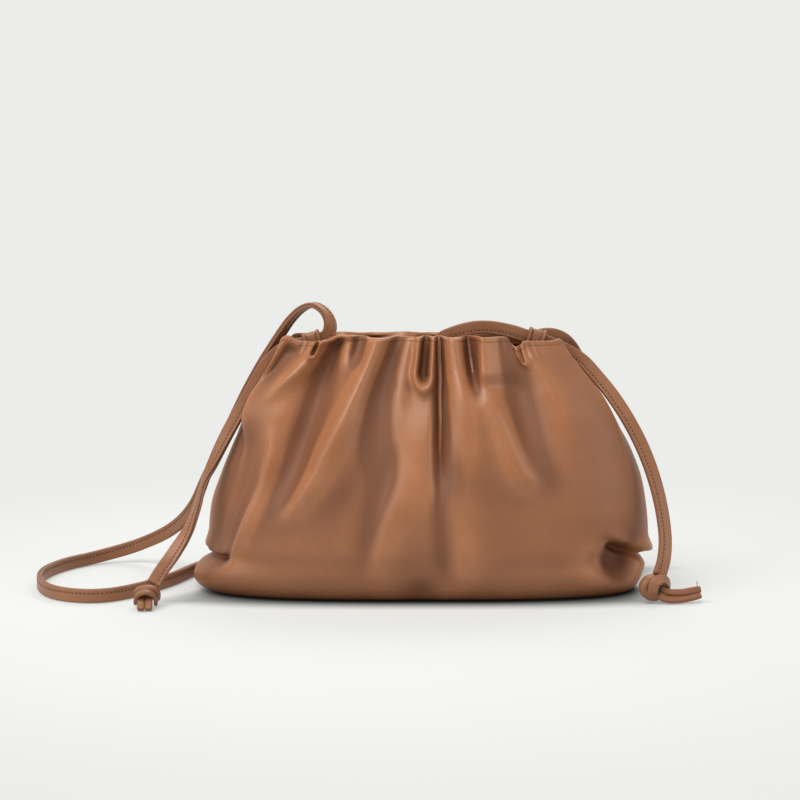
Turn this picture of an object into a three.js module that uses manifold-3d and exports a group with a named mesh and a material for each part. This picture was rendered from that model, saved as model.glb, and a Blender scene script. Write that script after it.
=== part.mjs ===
// A small gathered leather pouch bag that stands on its base, with one long thin strap
// threaded through two keepers at the mouth and stopped by a knot at each end.
// Millimetres. X runs left to right, Y from front to back, Z up. The origin is on the
// ground under the middle of the bag.

import * as THREE from 'three';
import { mergeVertices } from 'three/addons/utils/BufferGeometryUtils.js';
import Module from 'manifold-3d';

const wasm = await Module();
wasm.setup();

// Bag
const bagWidth = 237;
const bagDepth = 96;
const bagHeight = 132;
const leatherThickness = 1.8;
const pleatDepth = 8;

// Strap, knots and keepers
const strapWidth = 7;
const strapThickness = 2.8;
const strapEdgeBevel = 0.7;
const knotDiameter = 11.5;
const keeperLength = 9;
const keeperWall = 1.1;
const keeperBandLength = 1.6;
const keeperBandWall = 1.7;
const strapSlack = 0.35;

// Shares of the forms in the tables: how round a pleat's slot ends, how much of the loop it takes,
// where a tuck's lip is and how wide, in half heights of the tuck, and where the rim's dips begin
const slotRoundness = 2.2;
const slotShare = 0.62;
const lipHeight = 1.9;
const lipSpread = 1.2;
const dipFoot = 0.75;

// Shares of a knot's diameter, and the lean of its outer wrap in radians
const knotCore = 0.36;
const knotWrapRadius = 0.29;
const knotWrapThickness = 0.19;
const knotWrapLength = 1.3;
const knotLean = 0.9;

// Fineness of the meshes
const frontColumns = 60;
const backColumns = 31;
const wallRings = 23;
const baseRings = 1;
const strapSteps = 80;
const knotSides = 10;
const knotRings = 5;

const leather = { roughness: 0.52, metalness: 0 };
const BODY_COLOUR = 0x9b6a48;
const STRAP_COLOUR = 0x965f3f;

// Rows of named columns
function table(columns, rows) {
  const names = columns.split(' ');
  return rows.map((row) => Object.fromEntries(names.map((name, i) => [name, row[i]])));
}

// Level sections of the pouch, from the base to the rim. Height is a share of the bag's height,
// width and depth are shares of the bag's, shift moves the section to the right by a share of the
// bag's width, and square is the roundness of the plan outline.
const SECTIONS = table('height width depth shift square', [
  [0.000, 0.918, 0.850, -0.005, 3.000],
  [0.014, 0.955, 0.922, -0.005, 3.000],
  [0.045, 0.981, 0.968, -0.005, 3.000],
  [0.090, 0.987, 0.990, -0.004, 3.0],
  [0.140, 0.986, 0.995, -0.002, 2.8],
  [0.190, 0.986, 1.000, 0.000, 2.8],
  [0.250, 0.984, 0.990, 0.002, 2.7],
  [0.330, 0.972, 0.965, 0.004, 2.7],
  [0.420, 0.948, 0.920, 0.008, 2.6],
  [0.510, 0.922, 0.860, 0.007, 2.6],
  [0.600, 0.896, 0.785, 0.005, 2.6],
  [0.690, 0.857, 0.690, 0.004, 2.6],
  [0.770, 0.814, 0.580, 0.002, 2.6],
  [0.850, 0.766, 0.465, 0.001, 2.6],
  [0.930, 0.708, 0.360, -0.002, 2.7],
  [1.000, 0.664, 0.282, -0.005, 2.8],
]);

// Long folds that hang from the gathered mouth. Top, middle and foot are places around the bag,
// from is the upper height and to the lower one. Rise is a share of the pleat depth, out for a
// ridge and in for a valley; left and right are the half widths on each side, edge is 1 for a
// sharp crease and 2 for a round one, flare widens the foot, and lean tips the crest sideways.
// Start and end are the shares of the length over which the fold comes up and dies away.
const FOLDS = table('name top middle foot from to rise left right edge flare lean start end', [
  ['left_corner_hollow', -0.64, -0.70, -0.77, 0.99, 0.78, -0.55, 0.050, 0.070, 2.0, 1.2, 0.0, 0.20, 0.50],
  ['left_shoulder', -0.45, -0.54, -0.68, 1.02, 0.72, 0.60, 0.055, 0.055, 1.8, 1.4, 0.0, 0.05, 0.50],
  ['first_valley', -0.375, -0.415, -0.455, 1.020, 0.250, -1.100, 0.075, 0.056, 1.800, 1.400, 0.000, 0.060, 0.500],
  ['rim_recess', -0.262, -0.262, -0.262, 1.05, 0.86, -0.85, 0.042, 0.030, 2.4, 1.0, 0.0, 0.02, 0.45],
  ['long_roll', -0.170, -0.285, -0.440, 1.020, 0.250, 1.200, 0.055, 0.085, 1.800, 1.200, -0.200, 0.040, 0.280],
  ['second_valley', -0.085, -0.165, -0.105, 1.02, 0.34, -0.85, 0.034, 0.036, 1.9, 1.9, 0.0, 0.04, 0.70],
  ['soft_rib', -0.052, -0.095, -0.055, 1.02, 0.45, 0.30, 0.030, 0.030, 1.9, 1.3, 0.0, 0.05, 0.60],
  ['low_rib', -0.055, -0.120, -0.150, 0.60, 0.00, 0.42, 0.055, 0.075, 1.7, 1.3, 0.0, 0.40, 0.35],
  ['middle_column', -0.005, -0.020, 0.000, 0.84, 0.06, 0.42, 0.060, 0.055, 2.6, 1.2, 0.0, 0.30, 0.50],
  ['deep_crease', 0.068, 0.039, 0.028, 1.020, 0.280, -1.150, 0.013, 0.017, 1.600, 1.400, 0.000, 0.020, 0.550],
  ['third_rib', 0.125, 0.115, 0.140, 1.020, 0.400, 0.750, 0.042, 0.045, 1.800, 1.600, 0.000, 0.050, 0.600],
  ['third_valley', 0.195, 0.178, 0.165, 1.020, 0.740, -1.100, 0.019, 0.022, 1.800, 1.200, 0.000, 0.050, 0.500],
  ['fourth_rib', 0.262, 0.225, 0.190, 1.02, 0.80, 1.05, 0.018, 0.085, 1.8, 1.0, -0.10, 0.05, 0.35],
  ['long_rib', 0.165, 0.250, 0.290, 0.900, 0.350, 0.750, 0.085, 0.050, 1.900, 1.300, 0.000, 0.250, 0.300],
  ['fourth_valley', 0.340, 0.328, 0.310, 0.930, 0.440, -0.650, 0.045, 0.060, 1.900, 1.300, 0.000, 0.300, 0.600],
  ['right_panel', 0.460, 0.480, 0.520, 1.00, 0.55, 0.40, 0.050, 0.180, 2.0, 1.2, 0.0, 0.15, 0.60],
  ['low_right_rib', 0.035, 0.080, 0.125, 0.52, 0.00, 0.36, 0.050, 0.090, 1.7, 1.4, 0.0, 0.40, 0.30],
  ['left_side', -1.020, -1.020, -1.020, 1.060, 0.360, -1.350, 0.160, 0.170, 4.000, 1.000, 0.000, 0.080, 0.700],
  ['left_gusset', -0.800, -0.800, -0.880, 0.720, 0.080, -1.150, 0.190, 0.200, 2.800, 1.000, 0.000, 0.250, 0.160],
  ['left_edge', -0.560, -0.565, -0.690, 0.680, 0.100, 0.450, 0.022, 0.060, 1.700, 1.000, 0.000, 0.300, 0.300],
  ['right_side', 1.030, 1.030, 1.030, 1.06, 0.45, -1.20, 0.180, 0.180, 4.0, 1.0, 0.0, 0.08, 0.75],
  ['back_valley_1', 1.350, 1.300, 1.240, 0.97, 0.45, -0.50, 0.050, 0.050, 1.9, 1.8, 0.0, 0.05, 0.60],
  ['back_rib_1', 1.460, 1.430, 1.380, 1.02, 0.35, 0.60, 0.050, 0.050, 1.9, 1.7, 0.0, 0.05, 0.60],
  ['back_valley_2', 1.590, 1.570, 1.540, 1.02, 0.30, -0.75, 0.045, 0.045, 1.9, 1.9, 0.0, 0.05, 0.65],
  ['back_rib_2', 1.720, 1.710, 1.680, 1.02, 0.30, 0.65, 0.045, 0.045, 1.9, 1.8, 0.0, 0.05, 0.60],
  ['back_valley_3', 1.850, 1.850, 1.840, 1.02, 0.25, -0.70, 0.042, 0.042, 1.8, 2.0, 0.0, 0.05, 0.65],
  ['back_rib_3', 1.960, 1.970, 1.980, 1.02, 0.40, 0.60, 0.040, 0.040, 1.9, 1.6, 0.0, 0.05, 0.60],
  ['back_valley_4', 2.080, 2.100, 2.130, 1.02, 0.30, -0.80, 0.042, 0.042, 1.8, 1.9, 0.0, 0.05, 0.65],
  ['back_rib_4', 2.210, 2.240, 2.290, 1.02, 0.35, 0.65, 0.050, 0.050, 1.9, 1.7, 0.0, 0.05, 0.60],
  ['back_valley_5', 2.350, 2.400, 2.470, 1.02, 0.35, -0.70, 0.050, 0.050, 1.9, 1.7, 0.0, 0.05, 0.65],
  ['back_rib_5', 2.500, 2.550, 2.620, 1.02, 0.40, 0.55, 0.055, 0.055, 1.9, 1.5, 0.0, 0.05, 0.60],
]);

// Short pleats at the rim: a raised loop of leather around a slot. Wide and tall are the loop's
// half width around the bag and its depth below the rim; rise and slot are shares of the pleat depth.
const PLEATS = table('name top foot tall wide ridge rise slot', [
  ['hanging_loop', 0.014, -0.008, 0.130, 0.030, 0.013, 0.62, -0.75],
  ['shoulder_notch', -0.478, -0.486, 0.040, 0.020, 0.012, 0.30, -0.70],
  ['hooked_pleat', 0.430, 0.420, 0.045, 0.012, 0.012, 0.35, -0.60],
]);

// Tucks where the gusset folds over the base at both ends. Inner and outer are places around the
// bag, with the height at each; the lip is the fold above, which sags over the tuck, thick is half
// the tuck's height, and start and end are the shares of its length where it comes up and dies.
const TUCKS = table('name inner outer innerHeight outerHeight depth lip sag thick start end', [
  ['left_tuck', -0.62, -1.45, 0.140, 0.125, 0.70, 0.30, 0.30, 0.024, 0.18, 0.35],
  ['right_tuck', 0.56, 1.45, 0.205, 0.135, 0.60, 0.38, 0.30, 0.021, 0.14, 0.35],
]);

// Dips of the rim, as shares of the bag's height, with an edge like a fold's: at both ends of the
// mouth, where the strap lies over it, in front of the keepers and where the front droops
const DIPS = table('name around drop wide edge', [
  ['left_end', -1.04, 0.120, 0.240, 6.0],
  ['right_end', 1.06, 0.120, 0.280, 6.0],
  ['front_droop', 0.415, 0.030, 0.030, 3.000],
  ['left_keeper_seat', -0.52, 0.020, 0.130, 6.0],
  ['right_keeper_seat', 0.56, 0.020, 0.160, 6.0],
]);

// Round hollows, with half sizes around and up, and an edge like a fold's. A negative depth is a bulge.
const HOLLOWS = table('name around height wide tall edge depth', [
  ['right_pocket', 0.690, 0.150, 0.130, 0.085, 3.000, 1.400],
  ['left_foot', -1.00, 0.045, 0.300, 0.060, 2.0, -0.45],
  ['right_foot', 1.00, 0.040, 0.220, 0.050, 2.0, 0.25],
  ['foot_dent', -0.008, 0.040, 0.050, 0.050, 2.000, 0.200],
  ['back_bulge', 2.000, 0.200, 0.700, 0.250, 2.0, -0.20],
]);

function lerp(a, b, t) {
  return a + (b - a) * t;
}

function smooth(t) {
  const c = Math.min(Math.max(t, 0), 1);
  return c * c * (3 - 2 * c);
}

// A smooth curve through a table's column at a fractional row
function along(rows, column, place) {
  const last = rows.length - 1;
  const i = Math.min(Math.floor(place), last - 1);
  const t = place - i;
  const at = (k) => rows[Math.min(Math.max(k, 0), last)][column];
  const [p0, p1, p2, p3] = [at(i - 1), at(i), at(i + 1), at(i + 2)];
  return 0.5 * (2 * p1 + (p2 - p0) * t + (2 * p0 - 5 * p1 + 4 * p2 - p3) * t * t
    + (3 * p1 - p0 - 3 * p2 + p3) * t * t * t);
}

// The shorter way round between two places, which repeat every 4
function turnBetween(a, b) {
  let d = a - b;
  while (d > 2) d -= 4;
  while (d < -2) d += 4;
  return d;
}

// Comes up over the first share of a length and dies away over the last one
function envelope(t, start, end) {
  return smooth(t / start) * smooth((1 - t) / end);
}

// How far the leather stands out, sideways and up from the plain form at a place and height
function relief(around, height) {
  let out = 0;
  let side = 0;
  let up = 0;
  for (const f of FOLDS) {
    const t = (f.from - height) / (f.from - f.to);
    if (t <= 0 || t >= 1) continue;
    const centre = f.top * (1 - t) * (1 - 2 * t) + 4 * f.middle * t * (1 - t) + f.foot * t * (2 * t - 1);
    const d = turnBetween(around, centre);
    const width = (d < 0 ? f.left : f.right) * lerp(1, f.flare, t);
    const share = envelope(t, f.start, f.end) * Math.exp(-Math.pow(Math.abs(d) / width, f.edge));
    out += f.rise * share;
    side += f.lean * share;
  }
  for (const p of PLEATS) {
    const drop = (1 - height) / p.tall;
    const centre = lerp(p.top, p.foot, Math.min(drop, 1));
    const across = turnBetween(around, centre) / p.wide;
    const below = Math.max(drop - 1, 0) * slotRoundness;
    const r = Math.hypot(across, below);
    const ridge = Math.exp(-Math.pow((r - 1) * p.wide / p.ridge, 2));
    const slot = Math.exp(-Math.pow(r / slotShare, 4));
    out += p.rise * ridge + p.slot * slot;
  }
  for (const k of TUCKS) {
    const t = turnBetween(around, k.inner) / turnBetween(k.outer, k.inner);
    if (t <= 0 || t >= 1) continue;
    const share = envelope(t, k.start, k.end);
    const rise = (height - lerp(k.innerHeight, k.outerHeight, smooth(t * 2))) / k.thick;
    const lip = Math.exp(-Math.pow((rise - lipHeight) / lipSpread, 2)) * share;
    out += k.lip * lip - k.depth * share * Math.exp(-Math.pow(rise, 2));
    up -= k.sag * lip;
  }
  for (const d of DIPS) {
    const near = Math.exp(-Math.pow(Math.abs(turnBetween(around, d.around)) / d.wide, d.edge));
    up -= d.drop * bagHeight / pleatDepth * near * smooth((height - dipFoot) / (1 - dipFoot));
  }
  for (const h of HOLLOWS) {
    const d = Math.hypot(turnBetween(around, h.around) / h.wide, (height - h.height) / h.tall);
    out -= h.depth * Math.exp(-Math.pow(d, h.edge));
  }
  return { out: out * pleatDepth, side: side * pleatDepth, up: up * pleatDepth };
}

// A point of the outer face: around runs -1 left end, 0 front, 1 right end, 2 back, 3 left end,
// and level is a fractional row of the sections
function outerPoint(around, level) {
  const halfWidth = along(SECTIONS, 'width', level) * bagWidth / 2;
  const halfDepth = along(SECTIONS, 'depth', level) * bagDepth / 2;
  const square = along(SECTIONS, 'square', level);
  const height = along(SECTIONS, 'height', level);
  const angle = around * Math.PI / 2;
  const across = Math.sin(angle);
  const share = Math.min(Math.abs(across), 1);
  const deep = Math.pow(Math.max(1 - Math.pow(share, square), 0), 1 / square);
  const front = Math.cos(angle) >= 0 ? -1 : 1;
  const x = across * halfWidth + along(SECTIONS, 'shift', level) * bagWidth;
  const y = front * deep * halfDepth;
  const outward = new THREE.Vector2(
    Math.sign(across) * Math.pow(share, square - 1) / halfWidth,
    front * Math.pow(deep, square - 1) / halfDepth,
  ).normalize();
  const r = relief(around, height);
  return new THREE.Vector3(
    x + outward.x * r.out - outward.y * r.side,
    y + outward.y * r.out + outward.x * r.side,
    Math.max(height * bagHeight + r.up, 0),
  );
}

// The outward direction of the leather, from points a small step away
const STEP_AROUND = 0.02;
const STEP_LEVEL = 0.35;
function outwardAt(around, level) {
  const top = SECTIONS.length - 1;
  const east = outerPoint(around + STEP_AROUND, level).sub(outerPoint(around - STEP_AROUND, level));
  const above = outerPoint(around, Math.min(level + STEP_LEVEL, top));
  const north = above.sub(outerPoint(around, Math.max(level - STEP_LEVEL, 0)));
  return east.cross(north).normalize();
}

function innerPoint(around, level) {
  const p = outerPoint(around, level).addScaledVector(outwardAt(around, level), -leatherThickness);
  p.z = Math.max(p.z, leatherThickness);
  return p;
}

// One closed mesh from lists of points and triangles
function meshGeometry(points, triangles) {
  const geometry = new THREE.BufferGeometry();
  geometry.setAttribute('position', new THREE.Float32BufferAttribute(points.flatMap((p) => p.toArray()), 3));
  geometry.setIndex(triangles.flat());
  return geometry;
}

function named(name, geometry, colour) {
  const flat = geometry.index ? geometry.toNonIndexed() : geometry;
  flat.computeVertexNormals();
  const mesh = new THREE.Mesh(flat, new THREE.MeshStandardMaterial({ color: colour, ...leather }));
  mesh.name = name;
  return mesh;
}

// The pouch: an outer and an inner skin over the same columns and rings, joined at the rim
function pouchBody() {
  const columns = [];
  for (let i = 0; i < frontColumns; i += 1) columns.push(-1 + 2 * i / frontColumns);
  for (let i = 0; i < backColumns; i += 1) columns.push(1 + 2 * i / backColumns);
  const points = [];
  const triangles = [];
  const count = columns.length;
  const top = SECTIONS.length - 1;

  function skin(pointAt, floor, flip) {
    const first = points.length;
    points.push(new THREE.Vector3(0, 0, floor));
    for (let r = 1; r <= baseRings; r += 1) {
      for (const c of columns) {
        const edge = pointAt(c, 0);
        points.push(new THREE.Vector3(edge.x * r / (baseRings + 1), edge.y * r / (baseRings + 1), floor));
      }
    }
    for (let r = 0; r <= wallRings; r += 1) {
      for (const c of columns) points.push(pointAt(c, top * r / wallRings));
    }
    const face = (a, b, c) => triangles.push(flip ? [a, c, b] : [a, b, c]);
    const ringStart = (r) => first + 1 + r * count;
    const rings = baseRings + wallRings + 1;
    for (let i = 0; i < count; i += 1) {
      const next = (i + 1) % count;
      face(first, ringStart(0) + next, ringStart(0) + i);
      for (let r = 0; r < rings - 1; r += 1) {
        const [a, b] = [ringStart(r) + i, ringStart(r) + next];
        const [c, d] = [ringStart(r + 1) + i, ringStart(r + 1) + next];
        face(a, b, d);
        face(a, d, c);
      }
    }
    return ringStart(rings - 1);
  }

  const outerRim = skin(outerPoint, 0, false);
  const innerRim = skin(innerPoint, leatherThickness, true);
  for (let i = 0; i < count; i += 1) {
    const next = (i + 1) % count;
    triangles.push([outerRim + i, outerRim + next, innerRim + next]);
    triangles.push([outerRim + i, innerRim + next, innerRim + i]);
  }
  return meshGeometry(points, triangles);
}

// Joins closed pieces into one solid
function fuse(geometries) {
  const solids = geometries.map((geometry) => {
    const bare = geometry.clone();
    bare.deleteAttribute('normal');
    bare.deleteAttribute('uv');
    const merged = mergeVertices(bare, 1e-4);
    return new wasm.Manifold(new wasm.Mesh({
      numProp: 3,
      vertProperties: new Float32Array(merged.attributes.position.array),
      triVerts: new Uint32Array(merged.index.array),
    }));
  });
  const whole = solids.reduce((sum, solid) => sum.add(solid)).getMesh();
  const geometry = new THREE.BufferGeometry();
  geometry.setAttribute('position', new THREE.BufferAttribute(whole.vertProperties, 3));
  geometry.setIndex(new THREE.BufferAttribute(whole.triVerts, 1));
  return geometry;
}

// The strap's route, from the left knot to the right one. Across and deep are shares of half the
// bag's width and depth, high is a share of its height, and lift is a height in strap widths.
// Facing is the compass turn, in degrees, of the strap's flat side: 0 looks to the front, 90 to
// the right, 180 to the back, and tilt lifts it towards the sky.
const ROUTE_COLUMNS = 'across deep high lift facing tilt';

// Up the left side of the bag, over the end of the mouth and into the left keeper
const LEFT_END = table(ROUTE_COLUMNS, [
  [-1.1544, -1.1083, 0.0000, 1.557, -180, 180],
  [-1.1274, -1.0125, 0.0000, 2.314, -182, 180],
  [-1.0717, -0.8438, 0.1909, 0.000, -200, 180],
  [-1.0245, -0.6562, 0.2614, 0.000, -216, 180],
  [-0.9941, -0.4479, 0.3371, 0.000, -232, 180],
  [-0.9705, -0.2500, 0.4205, 0.000, -244, 180],
  [-0.9283, -0.1458, 0.5076, 0.000, -226, 180],
  [-0.8658, -0.0917, 0.6212, 0.000, -208, 180],
  [-0.7882, -0.0625, 0.7462, 0.000, -196, 180],
  [-0.7130, -0.0150, 0.8640, 0.000, -188, 180],
  [-0.6640, 0.0150, 0.9190, 0.000, -184, 180],
  [-0.6025, -0.0290, 0.9568, 0.000, -180, 180],
  [-0.5283, -0.0667, 0.9689, 0.000, -180, 180],
]);

// Out of the left keeper in a standing loop, down the left side to the ground, round to the left,
// behind the bag, up its right side, back into the mouth and to the right keeper
const LONG_STRETCH = table(ROUTE_COLUMNS, [
  [-0.4557, -0.0687, 0.9879, 0.000, -180, 180],
  [-0.4236, -0.0792, 1.0076, 0.000, -168, 178],
  [-0.4152, -0.0729, 1.0530, 0.000, -138, 166],
  [-0.4422, -0.0375, 1.0985, 0.000, -120, 132],
  [-0.4911, 0.0083, 1.1205, 0.000, -120, 88],
  [-0.5435, 0.0500, 1.1023, 0.000, -120, 48],
  [-0.5924, 0.0813, 1.0591, 0.000, -120, 22],
  [-0.6295, 0.0979, 1.0121, 0.000, -120, 8],
  [-0.6717, 0.1042, 0.9545, 0.000, -119, 0],
  [-0.7333, 0.1167, 0.8674, 0.000, -117, 0],
  [-0.8118, 0.1375, 0.7424, 0.000, -110, 0],
  [-0.9030, 0.1917, 0.5833, 0.000, -92, 0],
  [-0.9857, 0.2917, 0.4129, 0.000, -68, 0],
  [-1.0565, 0.5000, 0.2765, 0.000, -48, 0],
  [-1.1688, 0.8542, 0.1667, 0.000, -40, 0],
  [-1.3376, 1.1667, 0.0000, 1.500, -14, 0],
  [-1.5190, 1.0938, 0.0000, 0.657, 30, 0],
  [-1.6498, 0.7083, 0.0000, 0.543, 62, 0],
  [-1.7114, 0.2188, 0.0000, 0.543, 84, 0],
  [-1.6962, -0.2917, 0.0000, 0.543, 104, 0],
  [-1.6160, -0.7292, 0.0000, 0.543, 132, 0],
  [-1.4895, -0.9479, 0.0000, 0.543, 163, 0],
  [-1.3586, -0.9271, 0.0000, 0.543, 200, 0],
  [-1.2321, -0.6146, 0.0000, 0.543, 230, 0],
  [-1.1181, -0.0938, 0.0000, 0.543, 245, 0],
  [-1.0253, 0.5104, 0.0000, 0.543, 245, 0],
  [-0.8945, 1.0417, 0.0000, 0.543, 225, 0],
  [-0.6414, 1.2604, 0.0000, 0.543, 190, 0],
  [-0.0506, 1.2708, 0.0000, 0.543, 180, 0],
  [0.4895, 1.2604, 0.0000, 0.686, 180, 0],
  [0.7004, 1.1979, 0.0000, 2.000, 180, 0],
  [0.7975, 0.9896, 0.3182, 0.000, 168, 0],
  [0.7975, 0.7083, 0.5758, 0.000, 160, 0],
  [0.7300, 0.4062, 0.8030, 0.000, 160, 0],
  [0.6532, 0.1500, 0.9470, 0.000, 172, 0],
  [0.5688, 0.0750, 1.0000, 0.000, 180, 0],
  [0.4388, 0.0708, 0.9894, 0.000, 180, 0],
  [0.1350, 0.0750, 0.9727, 0.000, 190, 0],
  [0.0709, 0.0042, 0.9803, 0.000, 268, 0],
  [0.1097, -0.0667, 1.0061, 0.000, 345, 0],
  [0.2025, -0.0833, 1.0311, 0.000, 360, 0],
  [0.2911, -0.0833, 1.0333, 0.000, 360, 0],
  [0.3840, -0.0813, 1.0174, 0.000, 360, 0],
]);

// Out of the right keeper, over the end of the mouth and down to the ground
const RIGHT_END = table(ROUTE_COLUMNS, [
  [0.4498, -0.0687, 0.9977, 0.000, 360, 0],
  [0.5249, -0.0687, 0.9795, 0.000, 360, 0],
  [0.6059, -0.0479, 0.9500, 0.000, 362, 0],
  [0.6886, -0.0760, 0.9061, 0.000, 364, 0],
  [0.7561, -0.1292, 0.8409, 0.000, 368, 0],
  [0.8253, -0.1958, 0.7636, 0.000, 372, 0],
  [0.8911, -0.2708, 0.6712, 0.000, 376, 0],
  [0.9468, -0.3438, 0.5727, 0.000, 378, 0],
  [0.9890, -0.4479, 0.4697, 0.000, 382, 0],
  [1.0177, -0.5729, 0.3606, 0.000, 386, 0],
  [1.0312, -0.7083, 0.2500, 0.000, 386, 0],
  [1.0228, -0.8229, 0.1667, 0.000, 380, 0],
  [0.9992, -0.8917, 0.0000, 1.914, 372, 0],
]);

// The ends beyond the strap, through the knots to the cut tails
const LEFT_TAIL = table(ROUTE_COLUMNS, [
  [-1.1561, -1.1146, 0.0000, 1.500, 0, 0],
  [-1.1797, -1.2104, 0.0000, 0.800, 0, 50],
  [-1.1772, -1.3250, 0.0000, 0.629, 0, 66],
  [-1.1730, -1.4167, 0.0000, 0.343, 0, 66],
]);
const RIGHT_TAIL = table(ROUTE_COLUMNS, [
  [0.9975, -0.8979, 0.0000, 1.814, 372, 0],
  [0.9873, -0.9458, 0.0000, 0.943, 362, 20],
  [1.0278, -0.9583, 0.0000, 0.686, 360, 30],
  [1.0768, -0.9583, 0.0000, 0.571, 360, 20],
  [1.1274, -0.9375, 0.0000, 0.600, 360, 20],
  [1.1764, -0.8875, 0.0000, 0.714, 360, 20],
]);

// A point of a route at a fractional row
function routePoint(rows, place) {
  const at = (column) => along(rows, column, place);
  return new THREE.Vector3(
    at('across') * bagWidth / 2,
    at('deep') * bagDepth / 2,
    at('high') * bagHeight + at('lift') * strapWidth,
  );
}

function rowPoint(row) {
  return routePoint([row, row], 0);
}

// A path for a flat strap, with the flat side turned as its rows say
class StrapPath extends THREE.Curve {
  constructor(rows) {
    super();
    this.rows = rows;
  }

  place(t) {
    return t * (this.rows.length - 1);
  }

  getPoint(t) {
    return routePoint(this.rows, this.place(t));
  }

  getSpacedPoints(steps) {
    return this.getPoints(steps);
  }

  computeFrenetFrames(steps) {
    const tangents = [];
    const normals = [];
    const binormals = [];
    for (let i = 0; i <= steps; i += 1) {
      const t = i / steps;
      const facing = THREE.MathUtils.degToRad(along(this.rows, 'facing', this.place(t)));
      const tilt = THREE.MathUtils.degToRad(along(this.rows, 'tilt', this.place(t)));
      const tangent = this.getTangent(t);
      const flat = new THREE.Vector3(
        Math.sin(facing) * Math.cos(tilt),
        -Math.cos(facing) * Math.cos(tilt),
        Math.sin(tilt),
      );
      const normal = flat.addScaledVector(tangent, -flat.dot(tangent)).normalize();
      tangents.push(tangent);
      normals.push(normal);
      binormals.push(tangent.clone().cross(normal));
    }
    return { tangents, normals, binormals };
  }
}

// A rectangle with its corners cut off
function bevelledRectangle(width, height, bevel, Kind = THREE.Shape) {
  const [w, h] = [width / 2, height / 2];
  const corners = [[1, 1], [-1, 1], [-1, -1], [1, -1]];
  const outline = corners.flatMap(([sx, sy]) => {
    const alongTop = [sx * (w - bevel), sy * h];
    const alongSide = [sx * w, sy * (h - bevel)];
    return sx * sy > 0 ? [alongSide, alongTop] : [alongTop, alongSide];
  });
  return new Kind(outline.map(([x, y]) => new THREE.Vector2(x, y)));
}

function strapGeometry(rows, steps) {
  const section = bevelledRectangle(strapThickness, strapWidth, strapEdgeBevel);
  return new THREE.ExtrudeGeometry(section, { extrudePath: new StrapPath(rows), steps, bevelEnabled: false });
}

// A stopper knot: two flattened wraps of the strap round a core, with the strap running through
function knot(rows, steps, turn) {
  const [start, middle] = rows.map(rowPoint);
  const strand = start.sub(middle).normalize();
  const core = new THREE.SphereGeometry(knotDiameter * knotCore, knotSides, knotRings);
  const wrap = new THREE.TorusGeometry(
    knotDiameter * knotWrapRadius,
    knotDiameter * knotWrapThickness,
    knotRings,
    knotSides,
  ).scale(1, 1, knotWrapLength);
  const upright = new THREE.Quaternion().setFromUnitVectors(new THREE.Vector3(0, 0, 1), strand);
  const leaning = new THREE.Quaternion().setFromAxisAngle(new THREE.Vector3(0, 1, 0), turn);
  const collar = wrap.clone().applyQuaternion(upright);
  const band = wrap.clone().applyQuaternion(leaning.multiply(upright));
  const ball = [core, collar, band].map((piece) => piece.translate(middle.x, middle.y, middle.z));
  return fuse([...ball, strapGeometry(rows, steps)]);
}

// A keeper: a short leather tube round the strap with a raised band at each mouth, lying along X
function keeperGeometry() {
  const holeThickness = strapThickness + 2 * strapSlack;
  const holeWidth = strapWidth + 2 * strapSlack;
  const sleeve = (length, wall, start) => {
    const outline = bevelledRectangle(holeWidth + 2 * wall, holeThickness + 2 * wall, strapEdgeBevel + wall / 2);
    outline.holes.push(bevelledRectangle(holeWidth, holeThickness, strapEdgeBevel, THREE.Path));
    const solid = new THREE.ExtrudeGeometry(outline, { depth: length, bevelEnabled: false, steps: 1 });
    return solid.translate(0, 0, start - keeperLength / 2);
  };
  const tube = sleeve(keeperLength, keeperWall, 0);
  const bands = [0, keeperLength - keeperBandLength].map((start) => sleeve(keeperBandLength, keeperBandWall, start));
  return fuse([tube, ...bands]).rotateY(Math.PI / 2);
}

// A keeper stands round the strap where two stretches of its route meet
function keeper(name, before, after) {
  const [from, to] = [before, after].map(rowPoint);
  const mesh = named(name, keeperGeometry(), STRAP_COLOUR);
  mesh.position.copy(from).lerp(to, 0.5);
  mesh.rotation.y = Math.atan2(from.z - to.z, to.x - from.x);
  return mesh;
}

const bag = new THREE.Group();
bag.add(named('pouch_body', pouchBody(), BODY_COLOUR));
bag.add(keeper('left_keeper', LEFT_END.at(-1), LONG_STRETCH[0]));
bag.add(keeper('right_keeper', RIGHT_END[0], RIGHT_END[1]));
bag.add(named('strap', strapGeometry([...LEFT_END, ...LONG_STRETCH, ...RIGHT_END], strapSteps), STRAP_COLOUR));
bag.add(named('left_knot', knot(LEFT_TAIL, 3, knotLean), STRAP_COLOUR));
bag.add(named('right_knot', knot(RIGHT_TAIL, 6, -knotLean), STRAP_COLOUR));

export default bag;
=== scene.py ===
# A small gathered leather pouch bag with a long thin strap, in metres, in the frame of the
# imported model: X to the right along the bag, Y from front to back, Z up from the ground.

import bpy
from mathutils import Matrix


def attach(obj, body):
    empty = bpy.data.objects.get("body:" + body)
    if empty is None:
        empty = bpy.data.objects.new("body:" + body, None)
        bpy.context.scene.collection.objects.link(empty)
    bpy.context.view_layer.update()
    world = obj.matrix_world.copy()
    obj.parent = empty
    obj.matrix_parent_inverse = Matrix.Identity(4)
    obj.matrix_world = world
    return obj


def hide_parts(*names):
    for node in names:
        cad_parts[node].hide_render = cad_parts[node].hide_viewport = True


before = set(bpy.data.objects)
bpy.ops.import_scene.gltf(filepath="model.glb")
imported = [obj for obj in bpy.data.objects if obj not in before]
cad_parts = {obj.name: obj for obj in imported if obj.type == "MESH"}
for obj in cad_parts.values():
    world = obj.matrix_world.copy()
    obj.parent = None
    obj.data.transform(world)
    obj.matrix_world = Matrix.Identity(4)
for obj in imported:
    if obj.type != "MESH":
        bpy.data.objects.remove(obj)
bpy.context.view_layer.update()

import math
import bpy
import numpy as np
from mathutils import Vector

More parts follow.
